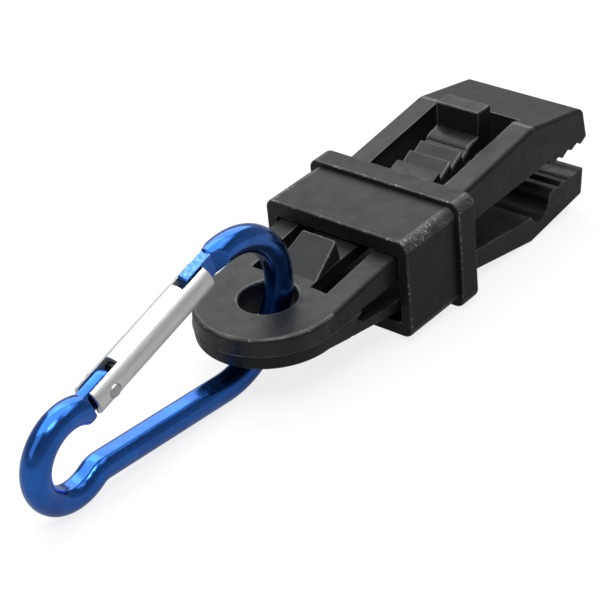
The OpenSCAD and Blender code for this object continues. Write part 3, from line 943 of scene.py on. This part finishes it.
@dataclass
class ReleaseTongue:
    """The strip in the window, with the stop wedge, the ratchet teeth and the thumb block."""

    half_width: float = 4.8
    rails: ClipBody = field(default_factory=ClipBody)
    thickness: float = 2.3
    flush: float = 0.1
    wedge: Pair = (7.2, 14.7)
    wedge_height: float = 3.2
    wedge_depth: float = 1.2
    wedge_half: float = 4.72
    wedge_top_half: float = 3.7
    crests: tuple[float, ...] = (43.71, 47.16, 50.61)
    tooth_start: float = 40.26
    tooth_height: float = 1.3
    sink: float = 0.65
    hump: Pair = (52.15, 56.0)
    hump_steps: int = 7
    thumb: Pair = (56.0, 59.85)
    thumb_height: float = 4.2
    thumb_round: float = 0.35
    soft_from: float = 6.4
    side_round: float = 0.5
    crest_round: float = 0.12
    wedge_round: float = 0.28
    mark_count: int = 6
    mark_radius: float = 0.15
    mark_start: float = 7.75
    mark_pitch: float = 0.42

    def strip(self) -> list[Station]:
        """Lists the cuts through the strip, from its root to the thumb block.

        Returns:
            The stations of its side outline.
        """
        rail = self.rails.rail_top
        x, z = self.rails.pin
        high = self.sink + self.tooth_height
        start_z = rail(self.tooth_start) - self.sink - 0.6 * self.tooth_height
        tops = [(x, z + self.rails.pin_radius), (self.wedge[1], rail(self.wedge[1]) - self.flush),
                (self.tooth_start, start_z)]
        for crest in self.crests:
            tops += [(crest, rail(crest) - self.sink),
                     (crest + 0.25 * self.tooth_height, rail(crest) - high)]
        size = self.hump[1] - self.hump[0]
        for step in range(self.hump_steps):
            turn = math.pi / 2 * step / (self.hump_steps - 1)
            tops.append((self.hump[1] - size * math.cos(turn),
                         rail(self.hump[1]) - high + self.tooth_height * math.sin(turn)))
        thumb_z = rail(self.thumb[0]) + self.thumb_height
        tops += [(self.thumb[0] + TINY, thumb_z), (self.thumb[1], thumb_z)]
        end_z = rail(self.thumb[1]) - high - self.thickness + self.tooth_height / 2
        lows = [(x, z - self.rails.pin_radius), (tops[1][0], tops[1][1] - self.thickness),
                (self.tooth_start, start_z - self.thickness), (self.thumb[1], end_z)]
        return round_start(self.rails.pin, self.rails.pin_radius) + cuts(tops, lows)

    def stop_wedge(self) -> Piece:
        """Models the wedge that stops the collar.

        Returns:
            The wedge.
        """
        rises = (-self.flush, self.wedge_height)
        rows = [(x, self.rails.rail_top(x), rise) for x, rise in zip(self.wedge, rises)]
        piece = new_bar("stop_wedge", [Station((x, rail + rise), (x, rail - self.wedge_depth))
                                       for x, rail, rise in rows], self.wedge_half)
        with editing(piece, "VERT"):
            for side in (-1, 1):
                select_points(piece, lambda at: at.z > rows[1][1] + 1 and at.y * side > 0)
                bpy.ops.transform.translate(
                    value=(0, -side * (self.wedge_half - self.wedge_top_half), 0))
        return piece

    def build(self) -> Piece:
        """Models the tongue.

        Returns:
            The piece.
        """
        wide, rail = self.half_width, self.rails.rail_top
        top, first = rail(self.thumb[0]) + self.thumb_height, self.tooth_start + 2
        piece = new_bar("tongue_moulding", self.strip(), wide)
        dress(piece, BODY_PLASTIC, BODY_EDGE_WEAR_AND_HIGHLIGHT)
        carve(piece, self.stop_wedge(), Cut.JOIN)
        clean(piece)
        round_edges(piece, self.thumb_round, lambda at: at.x > self.thumb[0] - 0.5
                    and at.z > top - 3, 3)
        round_edges(piece, self.side_round, lambda at: first < at.x < self.thumb[0] - NEAR
                    and abs(at.y) > wide - NEAR and at.z > self.soft_from, 3)
        round_edges(piece, self.crest_round, lambda at: first < at.x < self.hump[0] + 0.05
                    and abs(at.y) < NEAR and at.z > self.soft_from, 2)
        round_edges(piece, self.wedge_round, lambda at: at.x < self.wedge[1] + 0.2
                    and at.z > rail(at.x) + 0.25, 3, 25)
        for mark in range(2 * self.mark_count):
            x = self.mark_start + mark % self.mark_count * self.mark_pitch
            y = (wide + 2 * TINY) * (1 if mark >= self.mark_count else -1)
            carve(piece, new_rod("mark", self.mark_radius, (x, y, rail(x) - 3),
                                 (x, y, rail(x) + 0.45), 12))
        return finish_piece(piece, REST.clip(), Body.TONGUE, Slot.PLASTIC, "release_tongue")


@dataclass
class SlideCollar:
    """The sleeve that slides along the clip and closes its jaws."""

    start: float = 18.86
    end: float = 37.46
    half_width: float = 15.75
    top: float = 8.76
    low: float = -10.69
    corner: float = 1.9
    rim_x: float = 32.83
    rim_height: float = 1.04
    bore_half: float = 13.55
    bore_corner: float = 0.7
    roof: Pair = (5.686, 7.89)
    floor: Pair = (-7.985, -9.44)
    rib_x: float = 30.26
    rib_half: float = 8.0
    rib_reach: Pair = (0.9, -0.5)
    front_round: float = 0.35
    rim_round: float = 0.3
    mouth_round: float = 0.18
    rails: ClipBody = field(default_factory=ClipBody)

    def build(self) -> Piece:
        """Models the collar.

        Returns:
            The piece.
        """
        wide = self.half_width
        piece, rim = (new_block(name, (start, -wide - more, self.low - more),
                                (end, wide + more, self.top + more))
                      for name, start, end, more in (
                          ("collar_sleeve", self.start, self.end - 1, 0),
                          ("collar_rim", self.rim_x, self.end, self.rim_height)))
        for block in (piece, rim):
            dress(block, COLLAR_PLASTIC, COLLAR_EDGE_WEAR_AND_HIGHLIGHT)
            round_edges(block, self.corner, lambda at: abs(at.y) > wide - 1
                        and abs(at.z + 1) > 8 and self.start + 1 < at.x < self.end - 1, 6, 30)
        carve(piece, rim, Cut.JOIN)
        self.bore(piece)
        self.soften(piece)
        return finish_piece(piece, REST.clip(), Body.COLLAR, Slot.COLLAR, "slide_collar")

    def bore(self, piece: Piece) -> None:
        """Opens the collar's bore and leaves the catch rib under its roof.

        Args:
            piece: The collar.
        """
        over, size = 2, self.end - self.start
        rise, fall = ((line[1] - line[0]) / size * over for line in (self.roof, self.floor))
        tool = new_bar("bore", [
            Station((self.start - over, self.roof[0] - rise),
                    (self.start - over, self.floor[0] - fall)),
            Station((self.end + over, self.roof[1] + rise),
                    (self.end + over, self.floor[1] + fall))], self.bore_half)
        middle = (self.start + self.end) / 2
        round_edges(tool, self.bore_corner, lambda at: abs(at.x - middle) < over, 4)
        rows = ((x, self.rails.rail_top(x)) for x in (self.rib_x, self.end))
        high, low = self.rib_reach
        carve(tool, new_bar("rib", [Station((x, rail + high), (x, rail + low))
                                    for x, rail in rows], self.rib_half))
        carve(piece, tool)
        clean(piece)

    def beyond(self, at: Vector, wide: float, more: float) -> bool:
        """Says whether a point lies beyond a half width, or more above or below the sleeve."""
        return abs(at.y) > wide or at.z > self.top + more or at.z < self.low - more

    def outer(self, at: Vector) -> bool:
        """Says whether a point lies on the outside, not in the bore."""
        return self.beyond(at, self.bore_half + 0.8, -0.3)

    def soften(self, piece: Piece) -> None:
        """Rounds the collar's edges.

        Args:
            piece: The collar.
        """
        round_edges(piece, self.front_round, lambda at: self.outer(at)
                    and abs(at.x - self.start) < NEAR, 3, SHARP)
        round_edges(piece, self.rim_round, lambda at: self.beyond(at, self.half_width + 0.2, 0.2)
                    and (at.x > self.end - NEAR or abs(at.x - self.rim_x) < NEAR), 3, SHARP)
        round_edges(piece, self.mouth_round, lambda at: not self.outer(at)
                    and (at.x > self.end - NEAR or at.x < self.start + NEAR), 2, SHARP)


# The snap hook


@dataclass
class SnapHook:
    """The bent bar with its nose tang and its pivot tang."""

    bar_radius: float = 2.5
    sides: int = 48
    inner_flat: float = 2.28
    bow_radius: float = 13.07
    bow_steps: int = 40
    heel_radius: float = 14.68
    heel_steps: int = 20
    heel_from: float = 134.84
    spine_slope: float = 22.33
    spine_steps: int = 24
    small_at: Pair = (38.6, -6.5)
    small_radius: float = 7.65
    small_steps: int = 44
    neck_radius: float = 4.0
    neck_steps: int = 14
    gate_line: float = -12.2
    gate_radius: float = 2.8
    gate_past: float = 3.6
    tang_half: float = 1.0
    tang_clear: float = 0.15
    tang_end: float = 2.45
    tang_inner: float = 1.6415
    tang_sunk: float = 2.4
    tang_round: float = 0.35
    nose_low: float = -15.25
    nose_high: float = -10.85
    nose_tip: float = 6.6
    nose_root: float = 0.6125
    nose_round: float = 0.5
    cutter_radius: float = 2.5
    rib_pitch: float = 0.6
    rib_depth: float = 0.09
    shoulder: float = 0.3
    mill_y: Pair = (-18.0, -8.0)
    mill_end: float = 9.0
    milled_x: Pair = (-2.6, 7.0)
    milled_y: float = -9.0
    milled_edge_highlight: float = 0.12
    milled_rim_highlight: float = 0.1
    rivet_x: float = 28.0
    rivet_shaft: float = 0.95

    def key_points(self) -> dict[str, Vector]:
        """Works out where the stretches of the bar meet.

        Returns:
            The centre of the heel and of the neck, and the way along the spine.
        """
        heel, slope = math.radians(self.heel_from), math.radians(self.spine_slope)
        heel_at = (self.bow_radius - self.heel_radius) * Vector((math.cos(heel), math.sin(heel)))
        outward = Vector((math.sin(slope), math.cos(slope)))
        along = Vector((math.cos(slope), -math.sin(slope)))
        start = heel_at + self.heel_radius * outward
        gap = start + self.neck_radius * outward - Vector(self.small_at)
        reach = (self.small_radius + self.neck_radius) ** 2 - gap.dot(outward) ** 2
        run = (-gap.dot(along) - math.sqrt(reach)) * along
        return {"heel": heel_at, "neck": start + run + self.neck_radius * outward, "run": run}

    @staticmethod
    def bend(centre: Vector, start: float, end: float, steps: int) -> None:
        """Spins the selected ring about a centre, between two angles. Spin counts clockwise."""
        bpy.ops.mesh.spin(steps=steps, angle=math.radians(start - end), center=centre.to_3d(),
                          axis=(0, 0, 1))

    def bar(self) -> Piece:
        """Sweeps the round bar along the hook.

        Returns:
            The bar, closed at both ends.
        """
        spots = self.key_points()
        neck, small = spots["neck"], Vector(self.small_at)
        step = spots["run"] / self.spine_steps
        towards = math.degrees(math.atan2(small.y - neck.y, small.x - neck.x))
        small_end = -180 + math.degrees(math.asin(
            (self.small_at[1] - self.gate_line - self.gate_radius / 3) / self.small_radius))
        taper = (-self.nose_low - self.bow_radius - TINY) / self.bar_radius
        bpy.ops.mesh.primitive_circle_add(
            vertices=self.sides, radius=self.bar_radius * taper,
            location=(self.nose_root, -self.bow_radius, 0), rotation=(0, math.pi / 2, 0))
        piece = added("hook_bar")
        flat = self.inner_flat * taper - self.bow_radius
        with editing(piece, "VERT"):
            select_points(piece, lambda at: at.y > flat)
            bpy.ops.transform.resize(value=(1, 0, 1), center_override=(0, flat, 0))
        with editing(piece):
            select_all()
            extrude((-self.nose_root, 0, 0))
            bpy.ops.transform.resize(value=(1, 1 / taper, 1 / taper),
                                     center_override=(0, -self.bow_radius, 0))
            self.bend(Vector((0, 0)), 270, self.heel_from, self.bow_steps)
            self.bend(spots["heel"], self.heel_from, 90 - self.spine_slope, self.heel_steps)
            for _ in range(self.spine_steps):
                extrude((step.x, step.y, 0))
            self.bend(neck, -90 - self.spine_slope, towards, self.neck_steps)
            self.bend(small, towards + 180, small_end, self.small_steps)
            bpy.ops.mesh.edge_face_add()
            select_points(piece, lambda at: abs(at.x - self.nose_root) < TINY
                          and abs(at.y + self.bow_radius) < self.bar_radius + TINY)
            bpy.ops.mesh.edge_face_add()
            select_all()
            bpy.ops.mesh.remove_doubles(threshold=WELD)
            bpy.ops.mesh.normals_make_consistent(inside=False)
        return piece

    def nose(self, piece: Piece) -> None:
        """Adds the flat tang of the nose and mills the shoulders beside it.

        Args:
            piece: The bar.
        """
        half = self.tang_half
        tang = new_block("nose_tang", (self.nose_root - self.bar_radius / 2, self.nose_low, -half),
                         (self.nose_tip, self.nose_high, half))
        round_edges(tang, self.nose_round, lambda at: at.x > self.nose_tip - NEAR
                    and abs(at.z) < NEAR, 5, 30, PLAIN)
        carve(piece, tang, Cut.JOIN)
        for side in (-1, 1):
            tool = self.ribbed_cutter(side * (half + self.cutter_radius + TINY))
            low, high = sorted((side * (half + TINY / 2), side * (half + 6)))
            carve(tool, new_block("mill", (self.shoulder - self.tang_clear, self.mill_y[0], low),
                                  (self.mill_end, self.mill_y[1], high)), Cut.JOIN)
            carve(piece, tool)

    def ribbed_cutter(self, flat: float) -> Piece:
        """Models the round cutter that chattered as it milled a shoulder.

        Args:
            flat: The height of the cutter's axis off the hook's plane.

        Returns:
            The cutter, with a ring for each rib that it leaves.
        """
        start, end = self.nose_low - 2, self.nose_high + 2
        x, half = self.shoulder, self.rib_pitch / 2
        tool = new_rod("cutter", self.cutter_radius, (x, start, flat), (x, end, flat), 64)
        levels = [start + half * ring for ring in range(1, int((end - start) / half))]
        with editing(tool, "VERT"):
            for level in levels:
                slice_all((0, level, 0), (0, 1, 0))
            select_points(tool, lambda at: any(abs(at.y - level) < TINY / 10
                                               for level in levels[::2]))
            size = 1 - self.rib_depth / self.cutter_radius
            bpy.ops.transform.resize(value=(size, 1, size), center_override=(x, start, flat))
        return tool

    def pivot(self, piece: Piece) -> None:
        """Cuts the cheeks of the small bow and adds the tang that carries the gate.

        Args:
            piece: The bar.
        """
        x, y, half = self.rivet_x, self.gate_line, self.tang_half
        cheek = x + math.hypot(self.gate_past, self.gate_radius) + self.tang_clear
        carve(piece, new_block("cheek_cut", (cheek - 9, y - 4, -6), (cheek, y + 4.4, 6)))
        tang = new_block("pivot_tang", (x, y - self.tang_end, -half),
                         (x + self.gate_past + self.tang_sunk, y + self.tang_inner, half))
        carve(tang, new_rod("tang_end", self.tang_end, (x, y, -half), (x, y, half), 64), Cut.JOIN)
        round_edges(tang, self.tang_round, lambda at: abs(abs(at.z) - half) < TINY
                    and at.y < y - 0.5 and at.x < cheek, 3, SHARP, PLAIN)
        carve(tang, new_rod("rivet_hole", self.rivet_shaft, (x, y, -4), (x, y, 4), 32))
        carve(piece, tang, Cut.JOIN)

    def build(self) -> Piece:
        """Models the hook.

        Returns:
            The piece.
        """
        piece = self.bar()
        dress(piece, BLUE, BLUE_MILLED_AND_HIGHLIGHT)
        self.pivot(piece)
        self.nose(piece)
        start, end = self.milled_x
        with editing(piece):
            select_all()
            bpy.ops.mesh.remove_doubles(threshold=WELD)
        # Painted highlight: the thin bevels along the milled edges and the rim of the cut take the
        # light milled finish, which shows as bright lines.
        round_edges(piece, self.milled_edge_highlight, lambda at: at.y < self.milled_y
                    and self.nose_root + 0.2 < at.x < end, 2, 35)
        round_edges(piece, self.milled_rim_highlight, lambda at: at.y < self.milled_y
                    and start < at.x < 0 and abs(at.z) > self.tang_half + NEAR, 2, 46)
        repaint(piece, WORN_AND_HIGHLIGHT, lambda at, facing: facing.y < -0.9 and 0 < at.x < end
                and at.y < self.nose_low + NEAR)
        return finish_piece(piece, REST.hook(), Body.HOOK, Slot.ANODISED, "hook_body", smooth=24)


@dataclass
class Gate:
    """The slotted tube that shuts the hook, with the rivet that it swings on."""

    radius: float = 2.8
    bore: float = 1.75
    line: float = -12.2
    start: float = 2.7
    end: float = 31.6
    latch_end: float = 8.1
    latch_floor: float = -10.3
    plug_end: float = 11.5
    pivot_start: float = 24.6
    slot_half: float = 1.15
    end_round: float = 0.2
    slot_round: float = 0.1
    rivet_x: float = 28.0
    rivet_shaft: float = 0.9
    head_radius: float = 1.2
    head: Pair = (2.3, 3.1)
    head_round: float = 0.55

    def rod(self, name: str, radius: float, low: float, high: float) -> Piece:
        """Adds a rod along the rivet's axis."""
        x, y = self.rivet_x, self.line
        return new_rod(name, radius, (x, y, low), (x, y, high), 40)

    def tube(self) -> Piece:
        """Models the tube.

        Returns:
            The piece.
        """
        y, slot, over = self.line, self.slot_half, 2
        piece = new_rod("gate_sleeve", self.radius, (self.start, y, 0), (self.end, y, 0), 72)
        dress(piece, ALUMINIUM)
        carve(piece, new_rod("bore", self.bore, (self.plug_end, y, 0), (self.end + over, y, 0), 48))
        carve(piece, new_block("latch_slot", (self.start - over, y - 4, -slot),
                               (self.latch_end, self.latch_floor, slot)))
        carve(piece, new_block("pivot_slot", (self.pivot_start, y - 4, -slot),
                               (self.end + over, y + 4, slot)))
        for side in (-1, 1):
            carve(piece, self.rod("pocket", self.head_radius + TINY, side * self.head[0], side * 5))
        clean(piece)
        round_edges(piece, self.end_round, lambda at: at.x < self.start + TINY
                    or at.x > self.end - TINY, 3, SHARP, PLAIN)
        round_edges(piece, self.slot_round, lambda at: abs(abs(at.z) - slot) < TINY
                    and self.start < at.x < self.end, 2, SHARP, PLAIN)
        return finish_piece(piece, REST.hook(), Body.GATE, Slot.ALUMINIUM, "gate_tube")

    def rivet(self) -> Piece:
        """Models the rivet with its two domed heads.

        Returns:
            The piece.
        """
        low, high = self.head
        piece = self.rod("gate_rivet_pin", self.rivet_shaft, -low, low)
        dress(piece, RIVET_METAL)
        for side in (-1, 1):
            head = self.rod("head", self.head_radius, side * (low - 0.1), side * high)
            round_edges(head, self.head_round, lambda at: abs(at.z) > high - TINY, 6, SHARP, PLAIN)
            carve(piece, head, Cut.JOIN)
        return finish_piece(piece, REST.hook(), Body.GATE, Slot.RIVET, "gate_rivet")

    def build(self) -> list[Piece]:
        """Models the gate and dresses the spring and plunger inside it.

        Returns:
            The new pieces.
        """
        dress(frame["nodes"]["gate_spring"], SPRING_WIRE)
        dress(frame["nodes"]["gate_plunger"], PLUNGER_PAINTED_SHADE)
        return [self.tube(), self.rivet()]


# The studio


@dataclass
class Studio:
    """A pale cove and soft lamps, in metres, and the camera, in the clip's millimetres."""

    cove_radius: float = 1.6
    cove_curve: float = 0.4
    cove_steps: int = 8
    cove_wall: float = 0.5
    floor_drop: float = 0.00004
    paper_grey: Pair = (0.19, 0.21)
    seen_glow: float = 0.82
    mirrored_glow: float = 0.21
    focal_pixels: float = 2090.02
    frame_pixels: float = 600.0
    camera_at: Point = (-218.27, -205.69, 193.73)
    azimuth: float = -137.734
    elevation: float = 32.575
    roll: float = -5.862

    def paper(self) -> bpy.types.Material:
        """Wires the pale paper of the cove, which glows a little for the eye and for gloss.

        Returns:
            The material.
        """
        graph = Graph("pale_paper")
        grain = graph.span(graph.noise(900, 2), 0.3, 0.7, *self.paper_grey)
        tint = graph.add("CombineColor", {0: grain, 1: grain, 2: grain})
        graph.wire(Base_Color=tint.outputs[0], Roughness=0.95, Specular_IOR_Level=0)
        rays = graph.add("LightPath").outputs
        mirrored = graph.maths("MAXIMUM", rays["Is Glossy Ray"], rays["Is Transmission Ray"])
        dim = graph.maths("MULTIPLY", mirrored, self.mirrored_glow)
        away = graph.add("VectorMath", {0: graph.place}, operation="LENGTH").outputs["Value"]
        seen = graph.span(away, 0.25, 0.8, self.seen_glow, 1)
        strength = graph.maths("MULTIPLY_ADD", rays["Is Camera Ray"], seen, dim)
        glow = graph.add("Emission", {"Color": (1, 1, 1), "Strength": strength})
        both = graph.add("AddShader", {0: graph.shader.outputs[0], 1: glow.outputs[0]})
        graph.feed(graph.output.inputs["Surface"], both.outputs[0])
        return graph.material

    def cove(self) -> None:
        """Models the floor and the wall that rises all round it."""
        bpy.ops.mesh.primitive_circle_add(vertices=96, radius=self.cove_radius,
                                          fill_type="NGON", location=(0, 0, -self.floor_drop))
        piece = added("cove")
        with editing(piece):
            select_all()
            bpy.ops.mesh.region_to_loop()
            last = Vector((0, 0))
            for step in range(1, self.cove_steps + 1):
                turn = math.pi / 2 * step / self.cove_steps
                now = Vector((math.sin(turn), 1 - math.cos(turn))) * self.cove_curve
                grow = (self.cove_radius + now.x) / (self.cove_radius + last.x)
                extrude((0, 0, now.y - last.y))
                bpy.ops.transform.resize(value=(grow, grow, 1), center_override=(0, 0, 0))
                last = now
            extrude((0, 0, self.cove_wall))
            select_all()
            bpy.ops.mesh.normals_make_consistent(inside=True)
        bpy.ops.object.shade_smooth_by_angle(angle=math.radians(40))
        piece.data.materials.append(self.paper())

    @staticmethod
    def aim(azimuth: float, elevation: float) -> Matrix:
        """Turns what looks down so that it looks at the object from a direction, in degrees."""
        return REST.turn(azimuth + 90, "Z") @ REST.turn(90 - elevation, "X")

    def lamp(self, name: str, azimuth: float, elevation: float, distance: float,
             size: Pair, power: float) -> None:
        """Adds a softbox that looks at the object.

        Args:
            name: The lamp's name.
            azimuth: Its direction, from +X towards +Y, in degrees.
            elevation: Its height above the table, in degrees.
            distance: How far it stands away.
            size: Its width and height.
            power: Its power in watts.
        """
        turned = self.aim(azimuth, elevation)
        bpy.ops.object.light_add(type="AREA", location=turned @ Vector((0, 0, distance)),
                                 rotation=turned.to_euler())
        light = bpy.context.object
        light.name = name
        light.data.shape = "RECTANGLE"
        light.data.size, light.data.size_y = size
        light.data.energy = power

    def camera(self) -> None:
        """Sets the camera at the photograph's viewing angle."""
        place = REST.clip()
        turned = self.aim(self.azimuth, self.elevation) @ REST.turn(self.roll, "Z")
        bpy.ops.object.camera_add()
        camera = bpy.context.object
        camera.name = "camera"
        camera.matrix_world = (Matrix.Translation(place @ Vector(self.camera_at))
                               @ place.to_3x3().normalized().to_4x4() @ turned)
        camera.data.sensor_fit = "HORIZONTAL"
        camera.data.angle = 2 * math.atan(self.frame_pixels / 2 / self.focal_pixels)
        camera.data.clip_start = 0.01
        camera.data.clip_end = 20
        bpy.context.scene.camera = camera

    def build(self) -> None:
        """Sets up the cove, the lamps, the world and the camera."""
        self.cove()
        self.lamp("softbox_over", 100, 78, 0.95, (1.2, 1.2), 8)
        self.lamp("softbox_behind", 45, 42, 0.9, (1.1, 0.7), 4.6)
        self.lamp("softbox_left", 165, 35, 0.8, (0.4, 0.6), 0.6)
        self.lamp("softbox_right", 318, 58, 0.9, (0.6, 0.3), 0.8)
        self.lamp("softbox_front", 235, 62, 0.8, (0.3, 0.2), 1.15)
        world = bpy.data.worlds.new("studio")
        world.use_nodes = True
        background = world.node_tree.nodes["Background"]
        background.inputs["Color"].default_value = (0.5, 0.51, 0.52, 1)
        background.inputs["Strength"].default_value = 0.35
        bpy.context.scene.world = world
        bpy.context.scene.view_settings.view_transform = "Standard"
        self.camera()


def main() -> None:
    """Builds the clip, its hook and the studio."""
    logging.basicConfig(level=logging.INFO, format="%(message)s")
    log = logging.getLogger("tarp_clip")
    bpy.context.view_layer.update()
    Studio().build()
    for part in (ClipBody(), LowerJaw(), ReleaseTongue(), SlideCollar(), SnapHook(), Gate()):
        made = part.build()
        for piece in made if isinstance(made, list) else [made]:
            log.info("%s: %d faces", piece.name, len(piece.data.polygons))


if __name__ == "__main__":
    main()
